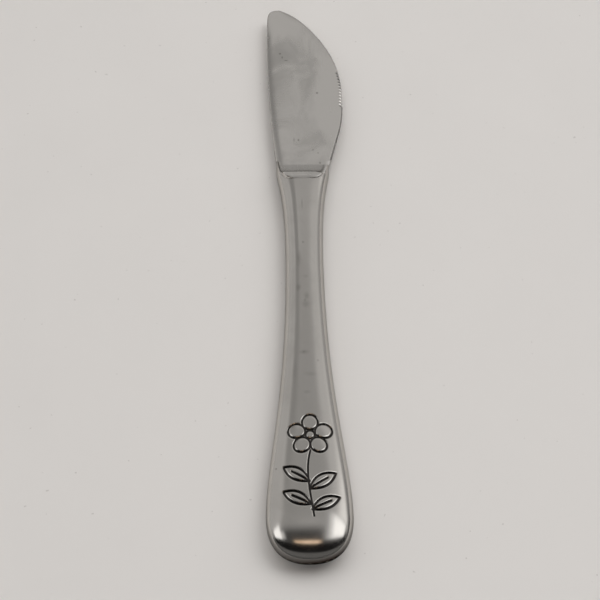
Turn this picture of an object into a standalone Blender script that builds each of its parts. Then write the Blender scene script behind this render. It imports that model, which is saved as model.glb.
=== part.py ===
"""Child's table knife: a forged blade cemented into a hollow handle made of two brazed shells.

Metres, +Z up. The knife lies on its back with the tip towards +Y and the cutting edge towards +X.
The origin is on the table, under the middle of the knife.
"""

import math

import bmesh
import bpy
from mathutils import Vector
from mathutils.geometry import interpolate_bezier

# Whole knife
LENGTH = 0.170
HANDLE_LENGTH = 0.103  # butt to the foot of the bolster

# Handle, measured over its outside
BUTT_WIDTH = 0.0186
BUTT_THICKNESS = 0.0082
BUTT_ROUND = 0.0104  # length of the rounded end, seen from above
WAIST_WIDTH = 0.0092
WAIST_THICKNESS = 0.0068
WAIST_SHARE = 0.756  # place of the waist along the handle
MOUTH_WIDTH = 0.0135
MOUTH_THICKNESS = 0.0074
SECTION_POWER = 2.3  # 2 is an ellipse, more is squarer
MOUTH_POWER = 3.2
RIM_THICKNESS = 0.0034  # of the two horns that reach past the bolster
SHELL_WALL = 0.0006
REST_FLAT_DEPTH = 0.00015  # ground off the back, where the knife lies
BRAZE_THICKNESS = 0.0001

# Bolster and the cup in the handle's mouth that takes it
CUP_DEPTH = 0.0082
CUP_CORNER = 0.0038
BAR_LENGTH = 0.0021
BAR_THICKNESS = 0.0079
BAR_POWER = 4.0
BAR_MARGIN = 0.0001  # by which its oval is wider than its trimmed ends
COVE_LENGTH = 0.0066  # hollow run from the bar down to the blade
COVE_SINK = 0.8  # depth at which it ends in the blade, as a share of the heel

# Blade
BELLY_REACH = 0.01114  # handle axis to the fullest part of the edge
BELLY_SHARE = 0.496  # its place along the blade
SPINE_REACH = 0.0092
FOOT_SPINE = 0.0068
FOOT_EDGE = 0.0073
TIP_OFFSET = 0.0058  # tip, towards the spine from the handle axis
TIP_ROUND = 0.0067
BLADE_THICKNESS = 0.0022
TIP_THINNING = 0.45  # share of the thickness lost at the tip
CROWN_WIDTH = 0.0019  # rounded band along the spine
CROWN_DROP = 0.45  # share of the half thickness lost at the spine
EDGE_THICKNESS = 0.0004
FOOT_EDGE_THICKNESS = 0.0018
BEVEL_WIDTH = 0.0005
BEVEL_DROP = 0.55

# Serrated stretch of the edge
TOOTH_PITCH = 0.00105
TOOTH_DEPTH = 0.00028
TOOTH_COUNT = 14
TOOTH_START = 0.436  # place of the first tooth along the blade

# Tang and fits
TANG_LENGTH = 0.042
TANG_WIDTH = 0.0050
TANG_THICKNESS = 0.0028
TANG_TAPER = 0.7
FIT_GAP = 0.0003  # between the bolster and its cup, and round the cement
OVERLAP = 0.0006  # depth to which forged lumps run into each other

# Fullness of the curves, as shares of the stretch that each one shapes
BUTT_NOSE = 0.71
BUTT_CROWN = 1.16
BUTT_SHOULDER = 0.583
BUTT_RUN = 0.206
WAIST_RUN_BACK = 0.573
WAIST_RUN_ON = 0.80
MOUTH_RUN = 0.15
MOUTH_SHARE = 0.606
RIM_ROUND = 0.55
FOOT_RUN = 0.366
FOOT_LEAN = 0.00227
SPINE_RUN = 0.192
TIP_SHOULDER = 0.876
TIP_BACK = 0.0029
HEEL_RUN = 0.209
HEEL_LEAN = 0.00286
BELLY_RUN_BACK = 0.21
BELLY_RUN_ON = 0.314
TIP_FRONT = 0.0040

# Resolution of the round shapes
SECTION_STEPS = 20
CURVE_STEPS = 10
RIB_COUNT = 24
TIP_CROWDING = 1.6  # more puts the ribs closer together at the tip
TOOTH_STEPS = 12

# Worked out from the sizes above
MID_HEIGHT = BUTT_THICKNESS / 2 + BRAZE_THICKNESS / 2 - REST_FLAT_DEPTH
AXIS_X = (max(BUTT_WIDTH / 2, SPINE_REACH) - BELLY_REACH) / 2
CENTRE = Vector((AXIS_X, -LENGTH / 2, MID_HEIGHT))
RIM_Y = HANDLE_LENGTH + CUP_DEPTH
FOOT_Y = RIM_Y + FIT_GAP
FOOT_HALF = MOUTH_WIDTH / 2 - SHELL_WALL - FIT_GAP
BLADE_LENGTH = LENGTH - HANDLE_LENGTH
PLATE_LENGTH = LENGTH - FOOT_Y


def mesh_object(name, bm, material=None):
    """Moves a shape from the handle's axis into the knife's own frame and makes it an object."""
    bmesh.ops.translate(bm, verts=bm.verts, vec=CENTRE)
    bmesh.ops.recalc_face_normals(bm, faces=bm.faces)
    mesh = bpy.data.meshes.new(name)
    bm.to_mesh(mesh)
    bm.free()
    obj = bpy.data.objects.new(name, mesh)
    bpy.context.scene.collection.objects.link(obj)
    if material:
        mesh.materials.append(material)
        mesh.shade_smooth()
    else:
        obj.hide_render = True
        obj.display_type = "WIRE"
    return obj


def boolean(obj, operation, cutter):
    modifier = obj.modifiers.new(f"{operation.lower()} {cutter.name}", "BOOLEAN")
    modifier.operation = operation
    modifier.solver = "EXACT"
    modifier.object = cutter


def loft(loops, pole=None):
    """Closed body through loops of equal point count; a pole closes the first end to a point."""
    bm = bmesh.new()
    rings = [[bm.verts.new(point) for point in loop] for loop in loops]
    for ring, following in zip(rings, rings[1:]):
        for place in range(len(ring)):
            bm.faces.new((ring[place - 1], ring[place], following[place], following[place - 1]))
    first = bm.faces.new(rings[0])
    bm.faces.new(rings[-1])
    if pole:
        bmesh.ops.poke(bm, faces=[first])
        bm.verts.ensure_lookup_table()
        bm.verts[-1].co = pole
    return bm


def bezier(knots):
    """Points along a chain of (knot, handle in, handle out)."""
    points = []
    for (start, _, leave), (end, arrive, _) in zip(knots, knots[1:]):
        stretch = interpolate_bezier(start, leave, arrive, end, CURVE_STEPS + 1)
        points += stretch[1:] if points else stretch
    return points


def handle_line(inset):
    """Half width, distance from the butt and half thickness along the handle, sunk by an inset."""
    butt = Vector((BUTT_WIDTH / 2 - inset, BUTT_ROUND, BUTT_THICKNESS / 2 - inset))
    waist_y = WAIST_SHARE * HANDLE_LENGTH
    mouth_y = HANDLE_LENGTH + MOUTH_SHARE * CUP_DEPTH
    waist = Vector((WAIST_WIDTH / 2 - inset, waist_y, WAIST_THICKNESS / 2 - inset))
    mouth = Vector((MOUTH_WIDTH / 2 - inset, mouth_y, MOUTH_THICKNESS / 2 - inset))
    rim = Vector((mouth.x, RIM_Y, RIM_THICKNESS / 2 - inset))
    nose = Vector((0, inset, 0))
    along = Vector((0, 1, 0))
    swell = waist.y - butt.y
    flare = mouth.y - waist.y
    droop = RIM_ROUND * (rim.y - mouth.y) * along
    fall = Vector((0, 0, RIM_ROUND * (mouth.z - rim.z)))
    knots = [
        (nose, nose, nose + Vector((BUTT_NOSE * butt.x, 0, BUTT_CROWN * butt.z))),
        (butt, butt - BUTT_SHOULDER * (BUTT_ROUND - inset) * along, butt + BUTT_RUN * swell * along),
        (waist, waist - WAIST_RUN_BACK * swell * along, waist + WAIST_RUN_ON * flare * along),
        (mouth, mouth - MOUTH_RUN * flare * along, mouth + droop),
        (rim, rim + fall, rim),
    ]
    return bezier(knots)[1:]


def superellipse(half_width, half_height, power, angle):
    x = half_width * math.copysign(abs(math.cos(angle)) ** (2 / power), math.cos(angle))
    z = half_height * math.copysign(abs(math.sin(angle)) ** (2 / power), math.sin(angle))
    return x, z


def handle_power(y):
    """Squareness of the handle's section, which grows from the waist to the mouth."""
    waist_y = WAIST_SHARE * HANDLE_LENGTH
    share = min(1, max(0, (y - waist_y) / (HANDLE_LENGTH - waist_y)))
    return SECTION_POWER + (MOUTH_POWER - SECTION_POWER) * share


def section(half_width, y, half_height, power):
    """Full oval section across the knife."""
    angles = [math.pi * step / SECTION_STEPS for step in range(2 * SECTION_STEPS)]
    corners = [superellipse(half_width, half_height, power, angle) for angle in angles]
    return [Vector((x, y, z)) for x, z in corners]


def half_section(half_width, y, half_height, side):
    """Half oval of the handle on one side of the seam."""
    angles = [math.pi * step / SECTION_STEPS for step in range(SECTION_STEPS + 1)]
    corners = [superellipse(half_width, half_height, handle_power(y), angle) for angle in angles]
    return [Vector((x, y, side * (abs(z) + BRAZE_THICKNESS / 2))) for x, z in corners]


def cup_outline(grow):
    """Rounded foot of the bolster seen from above, open towards the blade."""
    half = FOOT_HALF + grow
    low = HANDLE_LENGTH - grow
    corner = min(CUP_CORNER, 0.9 * half)
    outline = [Vector((half, RIM_Y + 2 * OVERLAP, 0)), Vector((-half, RIM_Y + 2 * OVERLAP, 0))]
    for side, first in ((-1, math.pi), (1, 1.5 * math.pi)):
        for step in range(CURVE_STEPS + 1):
            angle = first + 0.5 * math.pi * step / CURVE_STEPS
            centre = Vector((side * (half - corner), low + corner, 0))
            outline.append(centre + corner * Vector((math.cos(angle), math.sin(angle), 0)))
    return outline


def cup_block(name, grow):
    """Upright block of the cup's outline, taller than the knife."""
    reach = Vector((0, 0, max(BAR_THICKNESS, MOUTH_THICKNESS)))
    outline = cup_outline(grow)
    return mesh_object(name, loft([[p - reach for p in outline], [p + reach for p in outline]]))


def steel(name, colour, roughness, metallic):
    material = bpy.data.materials.new(name)
    material.use_nodes = True
    shader = material.node_tree.nodes["Principled BSDF"]
    shader.inputs["Base Color"].default_value = (*colour, 1)
    shader.inputs["Roughness"].default_value = roughness
    shader.inputs["Metallic"].default_value = metallic
    return material


def rest_cutter():
    """Slab under the table line; it leaves the flat on the back of the handle and bolster."""
    top = -MID_HEIGHT
    corners = [(-1, -1), (1, -1), (1, 1), (-1, 1)]
    loops = []
    for z in (top - BUTT_THICKNESS, top):
        loops.append([Vector((x * LENGTH, LENGTH / 2 + y * LENGTH, z)) for x, y in corners])
    return mesh_object("rest plane", loft(loops))


# Handle: two pressed shells, hollowed from the mouth, with the cup for the bolster cut in their ends
def handle_shell(name, side, material):
    loops = [half_section(p.x, p.y, p.z, side) for p in handle_line(0)]
    bm = loft(loops, Vector((0, 0, side * BRAZE_THICKNESS / 2)))
    return mesh_object(name, bm, material)


def cavity():
    line = handle_line(SHELL_WALL)
    loops = [section(p.x, p.y, p.z, handle_power(p.y)) for p in line]
    last = line[-1]
    loops.append(section(last.x, RIM_Y + OVERLAP, last.z, MOUTH_POWER))
    return mesh_object("handle cavity", loft(loops, Vector((0, SHELL_WALL, 0))))


# Seam: a thin layer of braze between the two rims, ground flush outside
def seam_braze(material):
    outside = handle_line(0)
    inside = handle_line(SHELL_WALL)
    outside = [(0, 0)] + [(p.x, p.y) for p in outside]
    inside = [(0, SHELL_WALL)] + [(p.x, p.y) for p in inside]
    around = [(-x, y) for x, y in reversed(outside[1:])] + outside
    back = inside[::-1] + [(-x, y) for x, y in inside[1:]]
    loops = []
    for z in (-BRAZE_THICKNESS / 2, BRAZE_THICKNESS / 2):
        loops.append([Vector((x, y, z)) for x, y in around + back])
    return mesh_object("seam_braze", loft(loops), material)


# Tang: tapered bar that runs from the bolster into the handle
def tang_body(name, grow):
    start = HANDLE_LENGTH + OVERLAP
    end = HANDLE_LENGTH - TANG_LENGTH - grow
    loops = []
    for y, scale in ((start, 1), (end, TANG_TAPER)):
        half = (scale * TANG_WIDTH / 2 + grow, scale * TANG_THICKNESS / 2 + grow)
        corners = [(-1, -1), (1, -1), (1, 1), (-1, 1)]
        loops.append([Vector((x * half[0], y, z * half[1])) for x, z in corners])
    return mesh_object(name, loft(loops))


# Cement: fills the handle round the tang, short of the bolster's foot
def handle_cement(material):
    line = [p for p in handle_line(SHELL_WALL + FIT_GAP) if p.y < HANDLE_LENGTH - FIT_GAP]
    loops = [section(p.x, p.y, p.z, handle_power(p.y)) for p in line]
    last = line[-1]
    loops.append(section(last.x, HANDLE_LENGTH - FIT_GAP, last.z, MOUTH_POWER))
    bm = loft(loops, Vector((0, SHELL_WALL + FIT_GAP, 0)))
    return mesh_object("handle_cement", bm, material)


# Bolster: bar across the blade's foot with a hollow fillet down to the blade, rounded to the cup's outline
def bolster():
    half = FOOT_HALF + BAR_MARGIN
    low = COVE_SINK * min(BLADE_THICKNESS, FOOT_EDGE_THICKNESS) / 2
    top = HANDLE_LENGTH + BAR_LENGTH
    fall = BAR_THICKNESS / 2 - low
    loops = [section(half, HANDLE_LENGTH - FIT_GAP, BAR_THICKNESS / 2, BAR_POWER)]
    for step in range(CURVE_STEPS + 1):
        angle = 0.5 * math.pi * step / CURVE_STEPS
        y = top + COVE_LENGTH * (1 - math.cos(angle))
        loops.append(section(half, y, BAR_THICKNESS / 2 - fall * math.sin(angle), BAR_POWER))
    return mesh_object("bolster", loft(loops))


# Blade plate: ribs across the blade, crowned at the spine and ground thin towards the edge
def blade_outlines():
    spine = Vector((-SPINE_REACH, LENGTH - TIP_ROUND, 0))
    tip = Vector((-TIP_OFFSET, LENGTH, 0))
    belly = Vector((BELLY_REACH, HANDLE_LENGTH + BELLY_SHARE * BLADE_LENGTH, 0))
    foot = Vector((-FOOT_SPINE, FOOT_Y, 0))
    heel = Vector((FOOT_EDGE, FOOT_Y, 0))
    up = Vector((0, 1, 0))
    back = bezier([
        (foot, foot, foot + Vector((-FOOT_LEAN, FOOT_RUN * PLATE_LENGTH, 0))),
        (spine, spine - SPINE_RUN * PLATE_LENGTH * up, spine + TIP_SHOULDER * TIP_ROUND * up),
        (tip, tip - Vector((TIP_BACK, 0, 0)), tip),
    ])
    edge = bezier([
        (heel, heel, heel + Vector((HEEL_LEAN, HEEL_RUN * PLATE_LENGTH, 0))),
        (belly, belly - BELLY_RUN_BACK * PLATE_LENGTH * up, belly + BELLY_RUN_ON * PLATE_LENGTH * up),
        (tip, tip + Vector((TIP_FRONT, 0, 0)), tip),
    ])
    return back, edge


def x_at(outline, y):
    """Where an outline that rises in Y crosses a height."""
    for low, high in zip(outline, outline[1:]):
        if y <= high.y:
            share = (y - low.y) / (high.y - low.y)
            return low.x + share * (high.x - low.x)
    return outline[-1].x


def rib(y, left, right):
    """Section across the blade: spine, crown, ground face, edge bevel, and the same below."""
    crown = min(CROWN_WIDTH, 0.35 * (right - left))
    bevel = min(BEVEL_WIDTH, 0.2 * (right - left))
    share = max(0, (y - FOOT_Y) / PLATE_LENGTH)
    thick = BLADE_THICKNESS / 2 * (1 - TIP_THINNING * share)
    towards_belly = min(1, share / BELLY_SHARE)
    thin = (FOOT_EDGE_THICKNESS + (EDGE_THICKNESS - FOOT_EDGE_THICKNESS) * towards_belly) / 2
    upper = []
    for step in range(5):
        place = (step / 4) ** 1.5
        upper.append((left + crown * place, thick * (1 - CROWN_DROP * (1 - place) ** 2)))
    upper.append((right - bevel, thin))
    upper.append((right, thin * (1 - BEVEL_DROP)))
    lower = [(x, -z) for x, z in reversed(upper)]
    return [Vector((x, y, z)) for x, z in upper + lower]


def blade_plate(material):
    back, edge = blade_outlines()
    neck = FOOT_HALF - FIT_GAP / 2
    loops = [rib(y, -neck, neck) for y in (HANDLE_LENGTH + BAR_LENGTH / 2, FOOT_Y)]
    for step in range(RIB_COUNT):
        y = LENGTH - PLATE_LENGTH * (1 - step / RIB_COUNT) ** TIP_CROWDING
        loops.append(rib(y, x_at(back, y), x_at(edge, y)))
    tip = Vector((-TIP_OFFSET, LENGTH, 0))
    return mesh_object("blade", loft(loops[::-1], tip), material)


def teeth():
    """Row of upright round cutters along the serrated stretch."""
    edge = blade_outlines()[1]
    bm = bmesh.new()
    radius = 0.55 * TOOTH_PITCH
    first = HANDLE_LENGTH + TOOTH_START * BLADE_LENGTH
    for step in range(TOOTH_COUNT):
        y = first + step * TOOTH_PITCH
        run = x_at(edge, y + TOOTH_PITCH) - x_at(edge, y - TOOTH_PITCH)
        outward = Vector((2 * TOOTH_PITCH, -run, 0)).normalized()
        place = Vector((x_at(edge, y), y, 0)) + (radius - TOOTH_DEPTH) * outward
        made = bmesh.ops.create_cone(
            bm,
            cap_ends=True,
            segments=TOOTH_STEPS,
            radius1=radius,
            radius2=radius,
            depth=2 * BLADE_THICKNESS,
        )
        bmesh.ops.translate(bm, verts=made["verts"], vec=place)
    return mesh_object("tooth cutters", bm)


def build():
    for old in list(bpy.data.objects):
        bpy.data.objects.remove(old)

    blade_steel = steel("blade_steel", (0.62, 0.62, 0.60), 0.22, 1)
    handle_steel = steel("handle_steel", (0.60, 0.60, 0.58), 0.18, 1)
    back_steel = steel("handle_back_steel", (0.58, 0.58, 0.57), 0.24, 1)
    braze = steel("braze", (0.70, 0.66, 0.56), 0.30, 1)
    cement = steel("cement", (0.45, 0.42, 0.38), 0.90, 0)

    hollow = cavity()
    cup = cup_block("cup", FIT_GAP)
    table = rest_cutter()
    for name, side, material in (
        ("handle_front_shell", 1, handle_steel),
        ("handle_back_shell", -1, back_steel),
    ):
        shell = handle_shell(name, side, material)
        boolean(shell, "DIFFERENCE", hollow)
        boolean(shell, "DIFFERENCE", cup)
        if side < 0:
            boolean(shell, "DIFFERENCE", table)

    seam = seam_braze(braze)
    boolean(seam, "DIFFERENCE", cup)

    filler = handle_cement(cement)
    boolean(filler, "DIFFERENCE", tang_body("tang pocket", FIT_GAP))

    lump = bolster()
    boolean(lump, "INTERSECT", cup_block("bolster outline", 0))
    blade = blade_plate(blade_steel)
    boolean(blade, "DIFFERENCE", teeth())
    boolean(blade, "UNION", lump)
    boolean(blade, "UNION", tang_body("tang", 0))
    boolean(blade, "DIFFERENCE", table)


build()
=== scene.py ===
import bisect
import math

import bmesh
import bpy
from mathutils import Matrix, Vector, kdtree
from mathutils.geometry import interpolate_bezier


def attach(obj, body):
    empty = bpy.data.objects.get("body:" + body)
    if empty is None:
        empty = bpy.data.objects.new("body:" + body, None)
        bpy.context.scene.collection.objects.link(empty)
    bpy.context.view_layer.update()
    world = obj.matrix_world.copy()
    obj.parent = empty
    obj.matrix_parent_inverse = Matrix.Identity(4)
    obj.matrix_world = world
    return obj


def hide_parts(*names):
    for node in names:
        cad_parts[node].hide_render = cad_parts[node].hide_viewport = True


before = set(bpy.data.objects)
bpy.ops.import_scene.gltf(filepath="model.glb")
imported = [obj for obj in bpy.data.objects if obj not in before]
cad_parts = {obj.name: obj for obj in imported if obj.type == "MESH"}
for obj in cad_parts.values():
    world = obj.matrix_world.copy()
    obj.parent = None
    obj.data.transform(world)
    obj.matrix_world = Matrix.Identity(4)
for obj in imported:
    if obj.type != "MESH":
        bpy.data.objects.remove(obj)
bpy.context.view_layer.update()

# Front shell of the handle. Half of the hollow handle, stamped from stainless sheet and polished, with a
# sprig pressed into its broad end. Its mouth is cut to a rounded cup for the bolster, and a thin horn
# reaches up each side of the blade's foot. All places are taken from the butt end of the handle's axis.
LENGTH = 0.170
AXIS_X = -0.00092
MID_HEIGHT = 0.0040
NOSE = Vector((0, 0, 0))
BUTT = Vector((0.0093, 0.0104, 0.0041))
WAIST = Vector((0.0046, 0.07787, 0.0034))
MOUTH = Vector((0.00675, 0.10797, 0.0037))
RIM = Vector((0.00675, 0.1112, 0.0017))
# how strongly each curve along the handle leaves and meets its ends, as shares of its stretch
NOSE_REACH = 0.71
NOSE_CROWN = 0.65
BUTT_SHOULDER = 0.583
BUTT_RUN = 0.206
WAIST_RUN_BACK = 0.573
WAIST_RUN_ON = 0.80
MOUTH_RUN = 0.15
RIM_ROUND = 0.55
BUTT_ROWS = 48
SWELL_ROWS = 130
FLARE_ROWS = 60
RIM_ROWS = 18
EDGE_HORN_Y = 0.1093
SHELL_WALL = 0.0006
HORN_WALL = 0.0002
SEAM_HALF = 0.00005
OVAL_POWER = 2.3
MOUTH_POWER = 2.5
FOOT_Y = 0.1030
FIT_GAP = 0.00002
LIP_START = 0.096
LIP_FLAT = 0.0026
LIP_SIDE = 0.0063
LIP_POWER = 2.4
SHELL_COLUMNS = 128
WELD = 1e-7
EDGE_EASE = 0.00004
EASE_ANGLE = math.radians(60)
EASE_END_Y = 0.1075
# painted shade along the shell's joint with the bolster at the cup, fading out towards the edge side
JOINT_SHADE = 0.17
JOINT_SHADE_WIDTH = 0.0009
JOINT_SHADE_FADE_X = (0.001, 0.003)
GROOVE_HALF = 0.00037
GROOVE_DEPTH = 0.00026
PRESS_MARGIN = 4 * GROOVE_HALF
FINE_MESH_REACH = 2 * GROOVE_HALF
PRESSED_FACE_Z = 0.25
PILLOW = 0.000055
# base x, base y, heading in degrees, length, half width and bluntness of each petal and leaf, in mm
SPRIG_SHAPES = [
    (0.4, 28.4, 90, 5.0, 1.75, 0.5),
    (0.4, 28.4, 18, 5.0, 1.75, 0.5),
    (0.4, 28.4, 162, 5.0, 1.75, 0.5),
    (0.4, 28.4, -54, 5.0, 1.75, 0.5),
    (0.4, 28.4, 234, 5.0, 1.75, 0.5),
    (0.1, 17.0, 147, 6.6, 1.35, 1.0),
    (0.0, 15.2, 34, 6.9, 1.4, 1.0),
    (0.3, 11.6, 152, 6.6, 1.3, 1.0),
    (0.5, 10.4, 27, 6.6, 1.3, 1.0),
]
PETAL_START = 0.24
LEAF_BLUNT = 1.0
VEIN_END = 0.7
STROKE_STEPS = 120
SPRIG_EYE = 1.0
EYE_STEPS = 90
STEM_STEPS = 200
SPRIG_STEM = [(0.35, 24.4), (-0.9, 19.5), (0.2, 14.5), (0.9, 8.9)]


def handle_rows():
    """Half width, distance from the butt and half thickness along the handle."""
    along = Vector((0, 1, 0))
    swell, flare, droop = WAIST.y - BUTT.y, MOUTH.y - WAIST.y, RIM.y - MOUTH.y
    nose_out = Vector((NOSE_REACH * BUTT.x, 0, NOSE_CROWN * BUTT.z))
    rim_in = RIM + Vector((0, 0, RIM_ROUND * (MOUTH.z - RIM.z)))
    stretches = [
        (NOSE, nose_out, BUTT - BUTT_SHOULDER * BUTT.y * along, BUTT, BUTT_ROWS),
        (BUTT, BUTT + BUTT_RUN * swell * along, WAIST - WAIST_RUN_BACK * swell * along, WAIST, SWELL_ROWS),
        (WAIST, WAIST + WAIST_RUN_ON * flare * along, MOUTH - MOUTH_RUN * flare * along, MOUTH, FLARE_ROWS),
        (MOUTH, MOUTH + RIM_ROUND * droop * along, rim_in, RIM, RIM_ROWS),
    ]
    rows = [NOSE]
    for start, leave, arrive, end, count in stretches:
        rows += interpolate_bezier(start, leave, arrive, end, count + 1)[1:]
    return rows


ROWS = handle_rows()
ROW_YS = [row.y for row in ROWS]


def row_at(y):
    """The handle's row at a distance from the butt."""
    high = min(len(ROWS) - 1, max(1, bisect.bisect_left(ROW_YS, y)))
    low = high - 1
    return ROWS[low].lerp(ROWS[high], (y - ROW_YS[low]) / (ROW_YS[high] - ROW_YS[low]))


def share_of(value, start, end):
    """How far a value has come from start to end, kept between 0 and 1."""
    return min(1, max(0, (value - start) / (end - start)))


def handle_height(share, row):
    """Height of the handle's oval above the seam, at a share of its half width."""
    power = OVAL_POWER + (MOUTH_POWER - OVAL_POWER) * share_of(row.y, WAIST.y, FOOT_Y)
    return row.z * max(0, 1 - abs(share) ** power) ** (1 / power) + SEAM_HALF


def cup_y(x):
    """How far up the cup's rounded mouth cuts the handle, seen from above."""
    out = share_of(abs(x), LIP_FLAT, LIP_SIDE)
    low = FOOT_Y - FIT_GAP
    cut = low + (RIM.y - low) * (1 - (1 - out ** LIP_POWER) ** (1 / LIP_POWER))
    return min(cut, EDGE_HORN_Y) if x > 0 else cut


def shell_mesh(facing):
    """Stamped half: a sheet laid over the handle's oval, then given its wall and eased edges."""
    bm = bmesh.new()
    last = len(ROWS) - 1
    bmesh.ops.create_grid(bm, x_segments=SHELL_COLUMNS, y_segments=last, size=0.5)
    dirt_shade_highlight = bm.verts.layers.float.new("dirt_shade_highlight")
    for vert in bm.verts:
        row = ROWS[round((vert.co.y + 0.5) * last)]
        share = math.sin(math.pi * vert.co.x)
        if row.y > LIP_START:
            climb = (row.y - LIP_START) / (RIM.y - LIP_START)
            row = row_at(LIP_START + climb * (cup_y(MOUTH.x * share) - LIP_START))
        height = facing * handle_height(share, row)
        vert.co = (row.x * share, row.y, max(height, -MID_HEIGHT))
        # painted shade along the cup's joint with the bolster
        off_joint = cup_y(vert.co.x) - vert.co.y
        most = JOINT_SHADE * (1 - share_of(vert.co.x, *JOINT_SHADE_FADE_X))
        vert[dirt_shade_highlight] = max(0, most * (1 - off_joint / JOINT_SHADE_WIDTH))
    bmesh.ops.remove_doubles(bm, verts=bm.verts, dist=WELD)
    if facing < 0:
        bmesh.ops.reverse_faces(bm, faces=bm.faces)
    bm.normal_update()
    inside = bmesh.ops.extrude_face_region(bm, geom=bm.faces[:], use_keep_orig=True)["geom"]
    bm.normal_update()
    for vert in [item for item in inside if isinstance(item, bmesh.types.BMVert)]:
        horn = share_of(vert.co.y, FOOT_Y, RIM.y)
        vert.co -= (SHELL_WALL + (HORN_WALL - SHELL_WALL) * horn) * vert.normal
    bmesh.ops.recalc_face_normals(bm, faces=bm.faces)
    rims = [
        edge for edge in bm.edges
        if edge.calc_face_angle(0) > EASE_ANGLE and edge.verts[0].co.y < EASE_END_Y
    ]
    bmesh.ops.bevel(
        bm, geom=rims, offset=EDGE_EASE, segments=2, profile=0.5, affect="EDGES", material=-1,
        clamp_overlap=True
    )
    return bm


def sprig_half_width(along, half, blunt):
    """Half width of a petal or leaf at a share of its length."""
    return half * max(0, 4 * along * (1 - along)) ** blunt


def sprig_strokes():
    """Points along every pressed line of the sprig."""
    points = []
    for x, y, heading, length, half, blunt in SPRIG_SHAPES:
        out = Vector((math.cos(math.radians(heading)), math.sin(math.radians(heading)), 0))
        across = Vector((-out.y, out.x, 0))
        first = PETAL_START if blunt < LEAF_BLUNT else 0
        for step in range(STROKE_STEPS + 1):
            along = 0.5 - 0.5 * math.cos(math.pi * step / STROKE_STEPS)
            wide = sprig_half_width(along, half, blunt)
            place = Vector((x, y, 0)) + length * (first + (1 - first) * along) * out
            points += [place + wide * across, place - wide * across]
            if blunt == LEAF_BLUNT and along < VEIN_END:
                points.append(place)
    x, y = SPRIG_SHAPES[0][:2]
    for step in range(EYE_STEPS):
        turn = 2 * math.pi * step / EYE_STEPS
        points.append(Vector((x + SPRIG_EYE * math.cos(turn), y + SPRIG_EYE * math.sin(turn), 0)))
    points += interpolate_bezier(*[Vector((x, y, 0)) for x, y in SPRIG_STEM], STEM_STEPS)
    return [point / 1000 for point in points]


def pillow_at(x, y):
    """Share of the full swell inside a petal or leaf."""
    best = 0
    for base_x, base_y, heading, length, half, blunt in SPRIG_SHAPES:
        first = PETAL_START if blunt < LEAF_BLUNT else 0
        turn = math.radians(heading)
        dx, dy = 1000 * x - base_x, 1000 * y - base_y
        along = (dx * math.cos(turn) + dy * math.sin(turn)) / length
        along = (along - first) / (1 - first)
        across = dy * math.cos(turn) - dx * math.sin(turn)
        wide = sprig_half_width(min(1, max(0, along)), half, blunt)
        if 0 < along < 1 and abs(across) < wide:
            best = max(best, (1 - (across / wide) ** 2) * math.sqrt(4 * along * (1 - along)))
    return best


def point_tree(points):
    """Points sorted for finding the nearest one."""
    tree = kdtree.KDTree(len(points))
    for index, point in enumerate(points):
        tree.insert(point, index)
    tree.balance()
    return tree


def press_sprig(bm):
    """Presses the sprig into the outside of the broad end; the pressed depth is kept for the finish."""
    strokes = sprig_strokes()
    tree = point_tree(strokes)
    top = max(point.y for point in strokes) + PRESS_MARGIN
    low = min(point.y for point in strokes) - PRESS_MARGIN

    def off_line(co):
        return tree.find((co.x, co.y, 0))[2]

    def pressed(normal, co):
        return normal.z > PRESSED_FACE_Z and co.z > 0 and low < co.y < top

    near = set()
    for face in bm.faces:
        middle = face.calc_center_median()
        if pressed(face.normal, middle) and off_line(middle) < FINE_MESH_REACH:
            near.update(face.edges)
    bmesh.ops.subdivide_edges(bm, edges=list(near), cuts=1, use_grid_fill=True)
    bm.normal_update()
    dirt_shade_highlight = bm.verts.layers.float["dirt_shade_highlight"]
    for vert in bm.verts:
        if not pressed(vert.normal, vert.co):
            continue
        row = row_at(vert.co.y)
        line = max(0, 1 - off_line(vert.co) / GROOVE_HALF)
        line = line * line * (3 - 2 * line)
        swell = PILLOW * pillow_at(vert.co.x, vert.co.y)
        vert.co.z = handle_height(vert.co.x / row.x, row) + swell - GROOVE_DEPTH * line
        # the grooves keep their share for the finish, which darkens them with dirt and painted shade
        vert[dirt_shade_highlight] = line


def node(tree, kind, inputs=None, **settings):
    """Adds a shader node; an input is a plain value or another node's output."""
    made = tree.nodes.new("ShaderNode" + kind)
    for name, value in settings.items():
        setattr(made, name, value)
    for name, value in (inputs or {}).items():
        if isinstance(value, bpy.types.NodeSocket):
            tree.links.new(value, made.inputs[name])
        else:
            made.inputs[name].default_value = value
    return made


def maths(tree, operation, *values):
    """One step of arithmetic between values or outputs."""
    return node(tree, "Math", dict(enumerate(values)), operation=operation).outputs[0]


def ramp(tree, value, start, end, low=0.0, high=1.0):
    """Runs a value smoothly from low at start to high at end."""
    inputs = {"Value": value, "From Min": start, "From Max": end, "To Min": low, "To Max": high}
    return node(tree, "MapRange", inputs, interpolation_type="SMOOTHSTEP").outputs["Result"]


def blend_colour(tree, share, under, over):
    """Lays one colour over another by a share."""
    return node(tree, "Mix", {0: share, 6: under, 7: over}, data_type="RGBA").outputs[2]


def noise(tree, place, scale, detail=3.0, turn=0.0, warp=0.0):
    """Noise drawn out by a scale for each axis, turned on the table."""
    lie = node(tree, "Mapping", {"Vector": place, "Rotation": (0, 0, turn), "Scale": scale})
    inputs = {"Vector": lie.outputs[0], "Scale": 1.0, "Detail": detail, "Roughness": 0.6, "Distortion": warp}
    return node(tree, "TexNoise", inputs).outputs["Fac"]


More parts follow.
